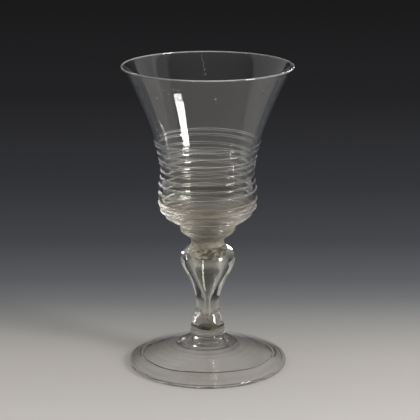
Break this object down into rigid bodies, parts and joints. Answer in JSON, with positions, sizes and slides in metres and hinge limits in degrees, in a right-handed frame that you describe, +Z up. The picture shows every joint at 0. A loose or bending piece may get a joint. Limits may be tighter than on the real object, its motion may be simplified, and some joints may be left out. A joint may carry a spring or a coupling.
{
  "type": "stemmed glass",
  "caption": "Clear hand-blown drinking glass: flared bell bowl wound with a glass trail, collar, hollow baluster stem, knop and conical foot with a folded rim.",
  "frame": {"origin": "on the table under the middle of the foot", "axes": "+Z up along the axis of the glass; the end of the trail is near the front, towards -Y"},
  "size_m": [0.0932, 0.0932, 0.168],
  "materials": {
    "bowl_glass": "clear fire-polished glass with a faint straw tint, fine seeds and a soft ripple",
    "trail_glass": "clear trailed glass, rounded and glossy",
    "stem_glass": "clear thick glass with a grey-green straw tint",
    "rough_glass": "rough broken glass, frosted and faintly cream",
    "foot_glass": "clear glass with tooling rings and a grey straw tint, worn where it rests"
  },
  "bodies": {
    "root": {"bowl": "bowl_glass", "bowl_trail": "trail_glass", "bowl_collar": "stem_glass", "neck_plug": "rough_glass", "baluster_stem": "stem_glass", "base_knop": "stem_glass", "foot": "foot_glass", "pontil_mark": "rough_glass"}
  },
  "joints": []
}
